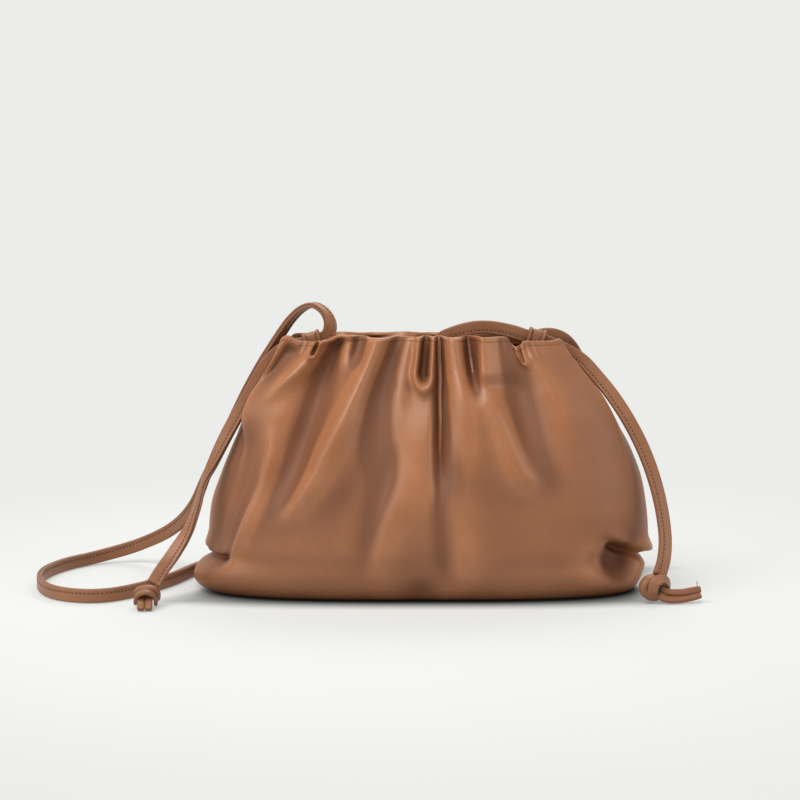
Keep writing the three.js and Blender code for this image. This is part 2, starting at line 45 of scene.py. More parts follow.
# Camera, ground and light
# The bag stands on a pale studio floor that curves up into a wall, with a painted contact shadow
# round the bag's foot. A large soft light hangs in front above it, with weaker ones at both
# sides and behind.
camera = bpy.data.objects.new("camera", bpy.data.cameras.new("camera"))
camera.data.lens = 85
camera.data.sensor_width = 36
camera.location = (-0.0129, -0.9832, 0.2101)
camera.rotation_euler = (math.radians(83.5), 0, 0)
bpy.context.collection.objects.link(camera)
bpy.context.scene.camera = camera
bpy.context.scene.view_settings.view_transform = "Standard"


class Socket:
    """A shader socket that takes part in Python sums."""

    def __init__(self, tree, out):
        self.tree, self.out = tree, out

    def math(self, operation, *values):
        return node(self.tree, "ShaderNodeMath", {"operation": operation}, *values)

    def __add__(self, other):
        return self.math("ADD", self, other)

    def __sub__(self, other):
        return self.math("SUBTRACT", self, other)

    def __rsub__(self, other):
        return self.math("SUBTRACT", other, self)

    def __mul__(self, other):
        return self.math("MULTIPLY", self, other)

    def __truediv__(self, other):
        return self.math("DIVIDE", self, other)

    def __pow__(self, other):
        return self.math("POWER", self, other)

    def __abs__(self):
        return self.math("ABSOLUTE", self)

    __radd__ = __add__
    __rmul__ = __mul__


def node(tree, kind, settings=None, *values, output=0, **named):
    """Any node: its settings first, then its sockets by place or by name."""
    made = tree.nodes.new(kind)
    for name, value in (settings or {}).items():
        setattr(made, name, value)
    sockets = list(zip(made.inputs, values)) + [(made.inputs[k], v) for k, v in named.items()]
    for socket, value in sockets:
        if isinstance(value, Socket):
            tree.links.new(value.out, socket)
        elif value is not None:
            socket.default_value = value
    return Socket(tree, made.outputs[output])


def new_material(name):
    material = bpy.data.materials.new(name)
    material.use_nodes = True
    tree = material.node_tree
    tree.nodes.clear()
    return material, tree


def finish_material(tree, shader):
    surface = tree.nodes.new("ShaderNodeOutputMaterial")
    tree.links.new(shader.out, surface.inputs["Surface"])


PAPER_COLOUR = (0.838, 0.847, 0.823)
PAPER_ALBEDO = (0.625, 0.634, 0.620)
GLOW_NEAR, GLOW_FAR = 0.35, 1.0
GLOW_CENTRE, GLOW_REACH = (0.0, 0.02, 0.0), (0.16, 0.42)
# Painted contact shadow: the floor's colour and glow are scaled down in a band round the bag's
# footprint, darkest at the foot and reaching further in front and behind than at the sides.
FOOT_SHIFT, FOOT_HALF, FOOT_ROUNDING = 0.0012, (0.1100, 0.0415), 3
FOOT_SHADE, FOOT_REACH_SIDE, FOOT_REACH_FRONT = 0.015, 0.045, 0.56
ground_material, tree = new_material("studio_paper")
spot = node(tree, "ShaderNodeTexCoord", output=3)
away = node(tree, "ShaderNodeVectorMath", {"operation": "DISTANCE"}, spot, GLOW_CENTRE, output=1)
soft_range = {"interpolation_type": "SMOOTHSTEP"}
share = node(tree, "ShaderNodeMapRange", soft_range, away, *GLOW_REACH, GLOW_NEAR, GLOW_FAR)
across, deep = (node(tree, "ShaderNodeSeparateXYZ", None, spot, output=k) for k in (0, 1))
across = abs(across + FOOT_SHIFT) / FOOT_HALF[0]
deep = abs(deep) / FOOT_HALF[1]
to_front = deep.math("MINIMUM", deep, 1.0) ** 2
reach = to_front * (FOOT_REACH_FRONT - FOOT_REACH_SIDE) + FOOT_REACH_SIDE
foot = (across ** FOOT_ROUNDING + deep ** FOOT_ROUNDING) ** (1 / FOOT_ROUNDING)
foot_shadow_share = node(tree, "ShaderNodeMapRange", soft_range, (foot - 1.0) / reach, 0, 1, FOOT_SHADE, 1)


# Scales a floor colour by the painted contact shadow round the bag's foot.
def painted_foot_shadow(colour):
    return node(tree, "ShaderNodeVectorMath", {"operation": "SCALE"}, colour, Scale=foot_shadow_share)


paper = node(tree, "ShaderNodeBsdfDiffuse", None, painted_foot_shadow(PAPER_ALBEDO))
glow = node(tree, "ShaderNodeEmission", None, painted_foot_shadow(PAPER_COLOUR), 1.0)
finish_material(tree, node(tree, "ShaderNodeMixShader", None, share, paper, glow))

FLOOR_FRONT, FLOOR_BACK, FLOOR_HALF_WIDTH = -2.2, 1.0, 3.0
CURVE_RADIUS, WALL_TOP = 0.9, 2.6
sweep = [(FLOOR_FRONT, 0.0), (FLOOR_BACK, 0.0)]
for turn in np.linspace(0.08, math.pi / 2, 24):
    sweep.append((FLOOR_BACK + CURVE_RADIUS * math.sin(turn),
                  CURVE_RADIUS - CURVE_RADIUS * math.cos(turn)))
sweep.append((FLOOR_BACK + CURVE_RADIUS, WALL_TOP))
ground = bpy.data.objects.new("studio_ground", bpy.data.meshes.new("studio_ground"))
ground.data.from_pydata(
    [(x, y, z) for y, z in sweep for x in (-FLOOR_HALF_WIDTH, FLOOR_HALF_WIDTH)], [],
    [(2 * i, 2 * i + 1, 2 * i + 3, 2 * i + 2) for i in range(len(sweep) - 1)])
ground.data.materials.append(ground_material)
bpy.context.collection.objects.link(ground)

LIGHTS = (
    # name, place, aim, width, height, watts and colour
    ("key_light", (-0.42, -0.50, 1.35), (0.0, 0.0, 0.06), 1.2, 1.0, 22.0, (1.0, 0.985, 0.965)),
    ("left_light", (-1.2, -0.75, 0.55), (0.0, 0.0, 0.06), 0.9, 1.0, 5.5, (1.0, 0.99, 0.98)),
    ("right_light", (1.3, -0.55, 0.7), (0.0, 0.0, 0.06), 0.7, 0.9, 5.5, (1.0, 0.99, 0.98)),
    ("back_light", (0.3, 1.0, 1.3), (0.0, 0.0, 0.1), 1.2, 0.5, 9.0, (1.0, 1.0, 1.0)),
)
for name, place, aim, width, height, watts, colour in LIGHTS:
    light = bpy.data.lights.new(name, "AREA")
    light.shape = "RECTANGLE"
    light.size, light.size_y, light.energy, light.color = width, height, watts, colour
    lamp = bpy.data.objects.new(name, light)
    lamp.location = place
    lamp.rotation_euler = (Vector(aim) - Vector(place)).to_track_quat("-Z", "Y").to_euler()
    bpy.context.collection.objects.link(lamp)
world = bpy.data.worlds.new("studio_air")
world.use_nodes = True
air = world.node_tree.nodes["Background"].inputs
air["Color"].default_value = (0.93, 0.95, 0.96, 1)
air["Strength"].default_value = 0.34
bpy.context.scene.world = world

# Strap
# One long flat strap of two leather layers glued and sewn along one edge. Each end runs through
# a keeper and is knotted; the middle stands up as a loop, lies on the ground behind the bag and
# goes back into the mouth. The rows are the route, with the turn of the flat side in degrees.
STRAP_WIDTH = 0.007
STRAP_THICKNESS = 0.0028
RING_STEP = 0.0014
LEFT_END = (
    (-0.1368, -0.0532, 0.0109, -180, 180),
    (-0.1336, -0.0486, 0.0162, -182, 180),
    (-0.1270, -0.0405, 0.0252, -200, 180),
    (-0.1214, -0.0315, 0.0345, -216, 180),
    (-0.1178, -0.0215, 0.0445, -232, 180),
    (-0.1150, -0.0120, 0.0555, -244, 180),
    (-0.1100, -0.0070, 0.0670, -226, 180),
    (-0.1026, -0.0044, 0.0820, -208, 180),
    (-0.0934, -0.0030, 0.0985, -196, 180),
    (-0.0845, -0.0007, 0.1140, -188, 180),
    (-0.0787, 0.0007, 0.1213, -184, 180),
    (-0.0714, -0.0014, 0.1263, -180, 180),
    (-0.0626, -0.0032, 0.1279, -180, 180),
)
LONG_STRETCH = (
    (-0.0540, -0.0033, 0.1304, -180, 180),
    (-0.0502, -0.0038, 0.1330, -168, 178),
    (-0.0492, -0.0035, 0.1390, -138, 166),
    (-0.0524, -0.0018, 0.1450, -120, 132),
    (-0.0582, 0.0004, 0.1479, -120, 88),
    (-0.0644, 0.0024, 0.1455, -120, 48),
    (-0.0702, 0.0039, 0.1398, -120, 22),
    (-0.0746, 0.0047, 0.1336, -120, 8),
    (-0.0796, 0.0050, 0.1260, -119, 0),
    (-0.0869, 0.0056, 0.1145, -117, 0),
    (-0.0962, 0.0066, 0.0980, -110, 0),
    (-0.1070, 0.0092, 0.0770, -92, 0),
    (-0.1168, 0.0140, 0.0545, -68, 0),
    (-0.1252, 0.0240, 0.0365, -48, 0),
    (-0.1385, 0.0410, 0.0220, -40, 0),
    (-0.1585, 0.0560, 0.0105, -14, 0),
    (-0.1800, 0.0525, 0.0046, 30, 0),
    (-0.1955, 0.0340, 0.0038, 62, 0),
    (-0.2028, 0.0105, 0.0038, 84, 0),
    (-0.2010, -0.0140, 0.0038, 104, 0),
    (-0.1915, -0.0350, 0.0038, 132, 0),
    (-0.1765, -0.0455, 0.0038, 163, 0),
    (-0.1610, -0.0445, 0.0038, 200, 0),
    (-0.1460, -0.0295, 0.0038, 230, 0),
    (-0.1325, -0.0045, 0.0038, 245, 0),
    (-0.1215, 0.0245, 0.0038, 245, 0),
    (-0.1060, 0.0500, 0.0038, 225, 0),
    (-0.0760, 0.0605, 0.0038, 190, 0),
    (-0.0060, 0.0610, 0.0038, 180, 0),
    (0.0580, 0.0605, 0.0048, 180, 0),
    (0.0830, 0.0575, 0.0140, 180, 0),
    (0.0945, 0.0475, 0.0420, 168, 0),
    (0.0945, 0.0340, 0.0760, 160, 0),
    (0.0865, 0.0195, 0.1060, 160, 0),
    (0.0774, 0.0072, 0.1250, 172, 0),
    (0.0674, 0.0036, 0.1320, 180, 0),
    (0.0520, 0.0034, 0.1306, 180, 0),
    (0.0160, 0.0036, 0.1284, 190, 0),
    (0.0084, 0.0002, 0.1294, 268, 0),
    (0.0130, -0.0032, 0.1328, 345, 0),
    (0.0240, -0.0040, 0.1361, 360, 0),
    (0.0345, -0.0040, 0.1364, 360, 0),
    (0.0455, -0.0039, 0.1343, 360, 0),
)
RIGHT_END = (
    (0.0533, -0.0033, 0.1317, 360, 0),
    (0.0622, -0.0033, 0.1293, 360, 0),
    (0.0718, -0.0023, 0.1254, 362, 0),
    (0.0816, -0.0036, 0.1196, 364, 0),
    (0.0896, -0.0062, 0.1110, 368, 0),
    (0.0978, -0.0094, 0.1008, 372, 0),
    (0.1056, -0.0130, 0.0886, 376, 0),
    (0.1122, -0.0165, 0.0756, 378, 0),
    (0.1172, -0.0215, 0.0620, 382, 0),
    (0.1206, -0.0275, 0.0476, 386, 0),
    (0.1222, -0.0340, 0.0330, 386, 0),
    (0.1212, -0.0395, 0.0220, 380, 0),
    (0.1184, -0.0428, 0.0134, 372, 0),
)


def through(values, place):
    """A smooth line through evenly spaced rows, read at fractional rows."""
    values = np.asarray(values, float)
    last = len(values) - 1
    i = np.clip(np.floor(place).astype(int), 0, last - 1)
    t = place - i
    p0, p1, p2, p3 = (values[np.clip(i + k, 0, last)] for k in (-1, 0, 1, 2))
    if values.ndim > 1:
        t = t[..., None]
    return 0.5 * (2 * p1 + (p2 - p0) * t + (2 * p0 - 5 * p1 + 4 * p2 - p3) * t**2
                  + (3 * p1 - p0 - 3 * p2 + p3) * t**3)


def unit(v):
    return v / np.maximum(np.linalg.norm(v, axis=-1, keepdims=True), 1e-12)


def strap_frames(rows, step):
    """Points a step apart along a route, with its direction, flat side and width direction."""
    rows = np.asarray(rows, float)
    fine = np.linspace(0, len(rows) - 1, 40 * len(rows))
    line = through(rows, fine)
    gone = np.concatenate([[0], np.cumsum(np.linalg.norm(np.diff(line[:, :3], axis=0), axis=1))])
    places = np.interp(np.linspace(0, gone[-1], max(int(gone[-1] / step), 2) + 1), gone, fine)
    line = through(rows, places)
    points = line[:, :3]
    direction = unit(np.gradient(points, axis=0))
    facing, tilt = np.radians(line[:, 3]), np.radians(line[:, 4])
    level = np.cos(tilt)
    flat = np.stack([np.sin(facing) * level, -np.cos(facing) * level, np.sin(tilt)], 1)
    flat = unit(flat - (flat * direction).sum(1, keepdims=True) * direction)
    return points, direction, flat, np.cross(direction, flat), gone[-1]


FACE_PLACES = np.array((-0.9, -0.45, 0, 0.25, 0.36, 0.43, 0.5, 0.57, 0.64, 0.75, 0.9))
SEAM_SHARE = 0.2
CHANNEL_DEPTH, CHANNEL_SHARE = 0.00016, 0.075
# How much the strap's colour darkens at its worn edges, along the groove between its two layers, and
# at its worn ends.
EDGE_WEAR, GROOVE_DARKENING, END_WEAR = 0.35, 0.65, 0.5


def strap_section(width, thickness, layers=2, channel=CHANNEL_DEPTH):
    """Layers with rounded edges and a groove between them, and a sunk seam near one edge."""
    radius = thickness / (2 * layers)
    half = width / 2 - radius
    face = FACE_PLACES * half
    from_seam = (face - SEAM_SHARE * width) / (CHANNEL_SHARE * width)
    sunk = thickness / 2 - channel * np.exp(-from_seam ** 2)
    turn = np.radians(np.linspace(90, -60 if layers == 2 else 8, 6))
    bow = half + radius * np.cos(turn)
    side = thickness / 2 - radius + radius * np.sin(turn)
    across = np.concatenate([face, bow, bow[::-1], face[::-1], -bow, -bow[::-1]])
    deep = np.concatenate([sunk, side, -side[::-1], -sunk[::-1], -side, side[::-1]])
    edge = EDGE_WEAR * (np.abs(across) > half)
    if layers == 2:
        edge = edge + GROOVE_DARKENING * (np.abs(deep) < 0.3 * radius)
    return deep, across, edge


def swept_mesh(name, points, flat, wide, section, swell=None):
    """A closed tube with the given section at every point, and its edge mask."""
    deep, across, edge = section
    count, rings = len(deep), len(points)
    swell = np.ones(rings) if swell is None else swell
    ring = (points[:, None] + (flat[:, None] * deep[None, :, None]
            + wide[:, None] * across[None, :, None]) * swell[:, None, None])
    verts = np.concatenate([ring.reshape(-1, 3), points[:1], points[-1:]])
    edge_darkening = np.concatenate([np.tile(edge, rings), [END_WEAR, END_WEAR]])
    faces = []
    for r in range(rings - 1):
        for k in range(count):
            n = (k + 1) % count
            faces.append((r * count + k, r * count + n, (r + 1) * count + n, (r + 1) * count + k))
    first, last = rings * count, rings * count + 1
    for k in range(count):
        n = (k + 1) % count
        faces.append((first, n, k))
        faces.append((last, (rings - 1) * count + k, (rings - 1) * count + n))
    mesh = bpy.data.meshes.new(name)
    mesh.from_pydata(verts.tolist(), [], faces)
    mask = mesh.attributes.new("edge", "FLOAT", "POINT")
    mask.data.foreach_set("value", edge_darkening.astype(np.float32))
    mesh.polygons.foreach_set("use_smooth", [True] * len(mesh.polygons))
    piece = bpy.data.objects.new(name, mesh)
    bpy.context.collection.objects.link(piece)
    return piece


CLOUD_SCALE, FLECK_SCALE = 26.0, 420.0
PEBBLE_DEPTH = 0.00020
LEATHER_SHINE = 0.42


def mixed(tree, share, first, second):
    """The first colour where the share is 0, and the second where it is 1."""
    return node(tree, "ShaderNodeMix", {"data_type": "RGBA"}, share, *[None] * 5,
                first, second, output=2)


def leather(name, light, dark, wear_and_shade_colour, grain, roughness, mask="edge"):
    """Fine grained leather: cloudy colour, darker worn edges and painted shade in folds, pebbled bump.
    """
    material, tree = new_material(name)
    place = node(tree, "ShaderNodeTexCoord", output=3)
    cloud = node(tree, "ShaderNodeTexNoise", None, place,
                 Scale=CLOUD_SCALE, Detail=3.0, Roughness=0.6)
    fleck = node(tree, "ShaderNodeTexNoise", None, place,
                 Scale=FLECK_SCALE, Detail=4.0, Roughness=0.65)
    tone = (cloud * 0.75 + fleck * 0.25 - 0.36) * 3.2
    # The mask mixes in the darker colour: at worn edges of the strap and keepers, and as painted shade
    # in the pouch's folds.
    wear_and_shade = node(tree, "ShaderNodeAttribute", {"attribute_name": mask}, output=2)
    colour = mixed(tree, wear_and_shade, mixed(tree, tone, (*dark, 1), (*light, 1)), (*wear_and_shade_colour, 1))
    pebble = node(tree, "ShaderNodeTexVoronoi", {"feature": "SMOOTH_F1"}, place, Scale=grain)
    fine = node(tree, "ShaderNodeTexNoise", None, place, Scale=grain * 2.3, Detail=3.0)
    bump = node(tree, "ShaderNodeBump", None,
                Strength=0.55, Distance=PEBBLE_DEPTH, Height=pebble * 0.6 + fine * 0.5)
    rough = (fleck - 0.5) * 0.22 + (cloud - 0.5) * 0.12 + wear_and_shade * 0.25 + roughness
    finish_material(tree, node(tree, "ShaderNodeBsdfPrincipled", None, **{
        "Base Color": colour, "Roughness": rough, "Normal": bump,
        "Specular IOR Level": LEATHER_SHINE}))
    return material


strap_leather = leather(
    "strap_leather", light=(0.292, 0.124, 0.056), dark=(0.230, 0.091, 0.039),
    wear_and_shade_colour=(0.150, 0.062, 0.031), grain=1500.0, roughness=0.42)
section = strap_section(STRAP_WIDTH, STRAP_THICKNESS)

STITCH_PITCH = 0.0021
STITCH_SIZE, STITCH_SINK, STITCH_UNEVEN = (0.0014, 0.00050, 0.00036), 0.00006, 0.12
HOLE_SIZE, HOLE_UNEVEN = (0.00095, 0.00070, 0.00026), 0.2
STRAP_SEED = 11
thread, tree = new_material("thread")
twist = node(tree, "ShaderNodeTexWave", {"bands_direction": "DIAGONAL"},
             node(tree, "ShaderNodeTexCoord", output=3), Scale=900.0, Distortion=1.5)
ply = node(tree, "ShaderNodeBump", None, Strength=0.4, Distance=0.00006, Height=twist)
finish_material(tree, node(tree, "ShaderNodeBsdfPrincipled", None, **{
    "Base Color": (0.300, 0.130, 0.062, 1), "Roughness": 0.6, "Normal": ply}))
# A near-black material that paints shade: inside the needle holes and in the middle of each knot.
needle_hole, tree = new_material("needle_hole")
finish_material(tree, node(tree, "ShaderNodeBsdfPrincipled", None, **{
    "Base Color": (0.050, 0.018, 0.009, 1), "Roughness": 0.8}))


def bead_tree():
    """Geometry nodes that lay a bead on every point of a seam, turned as its attributes say."""
    tree = bpy.data.node_groups.new("beads_on_a_seam", "GeometryNodeTree")
    for name, kind in (("Seam", "Geometry"), ("Length", "Float"), ("Width", "Float"),
                       ("Height", "Float"), ("Unevenness", "Float"), ("Seed", "Int"),
                       ("Material", "Material")):
        tree.interface.new_socket(name, in_out="INPUT", socket_type="NodeSocket" + kind)
    tree.interface.new_socket("Beads", in_out="OUTPUT", socket_type="NodeSocketGeometry")
    start = tree.nodes.new("NodeGroupInput")

    def given(name):
        return Socket(tree, start.outputs[name])

    def read(name):
        return node(tree, "GeometryNodeInputNamedAttribute", {"data_type": "FLOAT_VECTOR"}, name)

    bead = node(tree, "GeometryNodeMeshUVSphere", None, 6, 4, 0.5)
    turn = node(tree, "FunctionNodeAlignRotationToVector", {"axis": "X"}, Vector=read("along"))
    turn = node(tree, "FunctionNodeAlignRotationToVector", {"axis": "Z", "pivot_axis": "X"},
                Rotation=turn, Vector=read("out"))
    size = node(tree, "ShaderNodeCombineXYZ", None,
                given("Length"), given("Width"), given("Height"))
    chance = node(tree, "FunctionNodeRandomValue", {"data_type": "FLOAT"}, output=1,
                  Seed=given("Seed"))
    grown = (chance - 0.5) * given("Unevenness") + 1.0
    size = node(tree, "ShaderNodeVectorMath", {"operation": "SCALE"}, size, Scale=grown)
    laid = node(tree, "GeometryNodeInstanceOnPoints", None, given("Seam"),
                Instance=bead, Rotation=turn, Scale=size)
    laid = node(tree, "GeometryNodeRealizeInstances", None, laid)
    laid = node(tree, "GeometryNodeSetShadeSmooth", None, laid)
    laid = node(tree, "GeometryNodeSetMaterial", None, laid, Material=given("Material"))
    end = tree.nodes.new("NodeGroupOutput")
    tree.links.new(laid.out, end.inputs["Beads"])
    return tree


beads_on_a_seam = bead_tree()


def beads(name, places, along, out, size, material, unevenness, seed):
    """A finished mesh of beads, one at each place."""
    seam = bpy.data.meshes.new(name)
    seam.from_pydata(places.tolist(), [], [])
    for label, vectors in (("along", along), ("out", out)):
        data = seam.attributes.new(label, "FLOAT_VECTOR", "POINT").data
        data.foreach_set("vector", np.ascontiguousarray(vectors, np.float32).ravel())
    holder = bpy.data.objects.new(name, seam)
    bpy.context.collection.objects.link(holder)
    modifier = holder.modifiers.new("beads", "NODES")
    modifier.node_group = beads_on_a_seam
    values = {"Length": size[0], "Width": size[1], "Height": size[2],
              "Unevenness": unevenness, "Seed": seed, "Material": material}
    for item in beads_on_a_seam.interface.items_tree:
        if item.in_out == "INPUT" and item.name in values:
            modifier[item.identifier] = values[item.name]
    graph = bpy.context.evaluated_depsgraph_get()
    made = bpy.data.meshes.new_from_object(holder.evaluated_get(graph), depsgraph=graph)
    holder.modifiers.clear()
    holder.data = made
    return holder


def join(piece, parts):
    """Puts the parts into the piece, as one mesh."""
    with bpy.context.temp_override(active_object=piece, selected_editable_objects=[piece, *parts]):
        bpy.ops.object.join()


def sew(piece, places, along, out, seed):
    """Stitches with the needle holes between them, joined to the piece that they hold."""
    middle = (places[:-1] + places[1:]) / 2
    stitches = beads(piece.name + "_stitches", places, along, out,
                     STITCH_SIZE, thread, STITCH_UNEVEN, seed)
    holes = beads(piece.name + "_holes", middle, along[:-1], out[:-1],
                  HOLE_SIZE, needle_hole, HOLE_UNEVEN, seed + 1)
    join(piece, [stitches, holes])


def strap_stretch(name, rows):
    points, direction, flat, wide, length = strap_frames(rows, RING_STEP)
    piece = swept_mesh(name, points, flat, wide, section)
    piece.data.materials.append(strap_leather)
    for face in (1, -1):
        row, along, out, across, _ = strap_frames(rows, STITCH_PITCH)
        row = (row + across * SEAM_SHARE * STRAP_WIDTH
               + out * face * (STRAP_THICKNESS / 2 - STITCH_SINK))
        sew(piece, row[1:-1], along[1:-1], out[1:-1] * face, seed=STRAP_SEED + face)
    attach(piece, "root")
    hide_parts("strap")
    return piece, points, length


LEFT_IN = tuple((a + b) / 2 for a, b in zip(LEFT_END[-1], LONG_STRETCH[0]))
RIGHT_IN = tuple((a + b) / 2 for a, b in zip(RIGHT_END[0], RIGHT_END[1]))
strap_left, left_path, left_length = strap_stretch("strap_left_end", LEFT_END + (LEFT_IN,))
strap_long, long_path, long_length = strap_stretch(
    "strap_long", (LEFT_IN,) + LONG_STRETCH + (RIGHT_END[0], RIGHT_IN))
strap_right, right_path, right_length = strap_stretch(
    "strap_right_end", (RIGHT_IN,) + RIGHT_END[1:])

# Keepers
# Two short leather sleeves round the strap at the mouth, each with a raised band at both ends
# and a row of needle holes beside it. They stand by the rim, and the strap holds them up.
KEEPER_LENGTH = 0.009
KEEPER_PLAY = 0.0007
KEEPER_OPENING = (STRAP_THICKNESS + KEEPER_PLAY, STRAP_WIDTH + KEEPER_PLAY)
KEEPER_PROFILE = (
    # share of the half length and wall in millimetres, outside and then back through the opening
    (-1.00, 0.05), (-1.02, 0.7), (-1.00, 1.35), (-0.93, 1.68), (-0.84, 1.78), (-0.75, 1.70),
    (-0.68, 1.40), (-0.64, 1.12), (-0.60, 0.98), (-0.52, 1.08), (-0.40, 1.14), (0.0, 1.20),
    (0.40, 1.14), (0.52, 1.08), (0.60, 0.98), (0.64, 1.12), (0.68, 1.40), (0.75, 1.70),
    (0.84, 1.78), (0.93, 1.68), (1.00, 1.35), (1.02, 0.7), (1.00, 0.05),
    (0.5, 0.0), (0.0, 0.0), (-0.5, 0.0),
)
# Walls drawn in the darker edge colour: the keeper's ends, its inside and the groove beside each band.
KEEPER_DARKER_WALLS = ((-1, 0.8), (0.9, 1.0))
KEEPER_SIDES, KEEPER_ROUNDING = 56, 0.6
KEEPER_HOLES, KEEPER_HOLE_SIZE = 6, (0.0007, 0.00055, 0.0003)
KEEPER_HOLE_ROWS, KEEPER_HOLE_SPREAD, KEEPER_HOLE_HEIGHT = (-0.5, 0.5), 0.9, 0.00104


def keeper(name, before, after, node_name, seed):
    before, after = np.array(before[:3]), np.array(after[:3])
    along = unit(after - before)
    flat = np.array([0.0, -1.0, 0.0])
    up = np.cross(flat, along)
    middle = (before + after) / 2
    turn = np.linspace(0, 2 * np.pi, KEEPER_SIDES, endpoint=False)
    rings = []
    for share, wall in KEEPER_PROFILE:
        deep, high = (
            np.sign(part) * np.abs(part) ** KEEPER_ROUNDING * (side / 2 + wall / 1000)
            for part, side in zip((np.cos(turn), np.sin(turn)), KEEPER_OPENING))
        rings.append(middle + along * share * KEEPER_LENGTH / 2
                     + flat * deep[:, None] + up * high[:, None])
    count, tall = KEEPER_SIDES, len(rings)
    index = np.arange(count * tall).reshape(tall, count)
    over, next_one = np.roll(index, -1, 0), np.roll(index, -1, 1)
    quads = np.stack([index, over, np.roll(over, -1, 1), next_one], -1).reshape(-1, 4)
    mesh = bpy.data.meshes.new(name)
    mesh.from_pydata(np.concatenate(rings).tolist(), [], quads.tolist())
    mask = mesh.attributes.new("edge", "FLOAT", "POINT")
    wear_and_shade = [any(low < wall < high for low, high in KEEPER_DARKER_WALLS) for _, wall in KEEPER_PROFILE]
    mask.data.foreach_set("value", np.repeat(wear_and_shade, count).astype(np.float32))
    mesh.polygons.foreach_set("use_smooth", [True] * len(mesh.polygons))
    mesh.materials.append(strap_leather)
    piece = bpy.data.objects.new(name, mesh)
    bpy.context.collection.objects.link(piece)
    row = np.arange(KEEPER_HOLES) / (KEEPER_HOLES - 1) - 0.5
    row = row * KEEPER_OPENING[1] * KEEPER_HOLE_SPREAD
    for face in (flat, -flat):
        for end in KEEPER_HOLE_ROWS:
            place = (middle + along * end * KEEPER_LENGTH / 2 + up * row[:, None]
                     + face * (KEEPER_OPENING[0] / 2 + KEEPER_HOLE_HEIGHT))
            holes = beads(name + "_holes", place, np.tile(up, (KEEPER_HOLES, 1)),
                          np.tile(face, (KEEPER_HOLES, 1)), KEEPER_HOLE_SIZE, needle_hole,
                          HOLE_UNEVEN, seed)
            join(piece, [holes])
    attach(piece, "root")
    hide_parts(node_name)


keeper("keeper_left", LEFT_END[-1], LONG_STRETCH[0], "left_keeper", 21)
keeper("keeper_right", RIGHT_END[0], RIGHT_END[1], "right_keeper", 22)

# Knots
# Both ends of the strap are tied in a small stopper knot. Wraps of the strap go round its end,
# and the tails beyond them show the two layers apart. Each row is a point with the flat's turn.
KNOT_CORE = 0.0034
KNOT_STEP, KNOT_TAPER = 0.0004, 0.12
RIGHT_KNOT = (
    # wrap, width, thickness, layers, rows
    ("lobe", 0.0074, 0.0052, 1, (
        (0.1172, -0.0430, 0.0118, 0, 85), (0.1136, -0.0445, 0.0112, -40, 66),
        (0.1112, -0.0456, 0.0100, -80, 36), (0.1104, -0.0460, 0.0080, -90, 4),
        (0.1112, -0.0462, 0.0057, -90, -34), (0.1136, -0.0462, 0.0040, -60, -66),
        (0.1168, -0.0455, 0.0034, 0, -85))),
    ("band", 0.0054, 0.0026, 2, (
        (0.1150, -0.0462, 0.0034, 0, -30), (0.1143, -0.0490, 0.0060, 0, 0),
        (0.1146, -0.0495, 0.0092, 2, 14), (0.1162, -0.0488, 0.0116, 8, 34),
        (0.1193, -0.0468, 0.0122, 25, 40), (0.1220, -0.0440, 0.0102, 60, 20),
        (0.1230, -0.0418, 0.0070, 80, 0), (0.1222, -0.0402, 0.0042, 85, -20))),
    ("upper_tail", 0.0036, 0.0024, 1, (
        (0.1165, -0.0450, 0.0086, 0, 20), (0.1192, -0.0460, 0.0076, 0, 24),
        (0.1221, -0.0468, 0.0060, 0, 24), (0.1264, -0.0470, 0.0056, 0, 22),
        (0.1308, -0.0465, 0.0058, 0, 18), (0.1352, -0.0455, 0.0064, 0, 14),
        (0.1390, -0.0445, 0.0068, 0, 12))),
    ("lower_tail", 0.0044, 0.0024, 1, (
        (0.1164, -0.0460, 0.0054, 0, 40), (0.1186, -0.0478, 0.0040, 0, 48),
        (0.1210, -0.0486, 0.0028, 0, 54), (0.1245, -0.0486, 0.0023, 0, 56),
        (0.1297, -0.0476, 0.0025, 0, 50), (0.1351, -0.0462, 0.0034, 0, 42),
        (0.1390, -0.0452, 0.0042, 0, 38))),
    ("loose_thread", 0.0004, 0.0004, 1, (
        (0.1371, -0.0452, 0.0060, 0, 0), (0.1374, -0.0447, 0.0085, 0, 0),
        (0.1372, -0.0444, 0.0109, 0, 0))),
)
LEFT_KNOT = (
    ("upper_ring", 0.0042, 0.0028, 1, (
        (-0.1456, -0.0530, 0.0052, -90, 0), (-0.1442, -0.0560, 0.0082, -70, 30),
        (-0.1420, -0.0580, 0.0098, -40, 58), (-0.1386, -0.0590, 0.0105, 0, 72),
        (-0.1353, -0.0575, 0.0096, 40, 58), (-0.1342, -0.0550, 0.0070, 75, 25),
        (-0.1344, -0.0520, 0.0040, 90, -10))),
    ("front_arch", 0.0036, 0.0022, 1, (
        (-0.1450, -0.0570, 0.0026, -90, 0), (-0.1441, -0.0600, 0.0062, -70, 25),
        (-0.1420, -0.0620, 0.0084, -40, 52), (-0.1390, -0.0625, 0.0092, 0, 66),
        (-0.1362, -0.0610, 0.0078, 40, 52), (-0.1349, -0.0580, 0.0048, 75, 20),
        (-0.1351, -0.0550, 0.0018, 90, -10))),
    ("left_tail", 0.0039, 0.0022, 1, (
        (-0.1422, -0.0570, 0.0066, 0, 40), (-0.1417, -0.0610, 0.0047, 0, 58),
        (-0.1414, -0.0640, 0.0027, 0, 62), (-0.1411, -0.0668, 0.0014, 0, 72))),
    ("right_tail", 0.0039, 0.0022, 1, (
        (-0.1384, -0.0570, 0.0070, 0, 40), (-0.1379, -0.0610, 0.0048, 0, 58),
        (-0.1376, -0.0640, 0.0028, 0, 62), (-0.1373, -0.0668, 0.0014, 0, 72))),
)


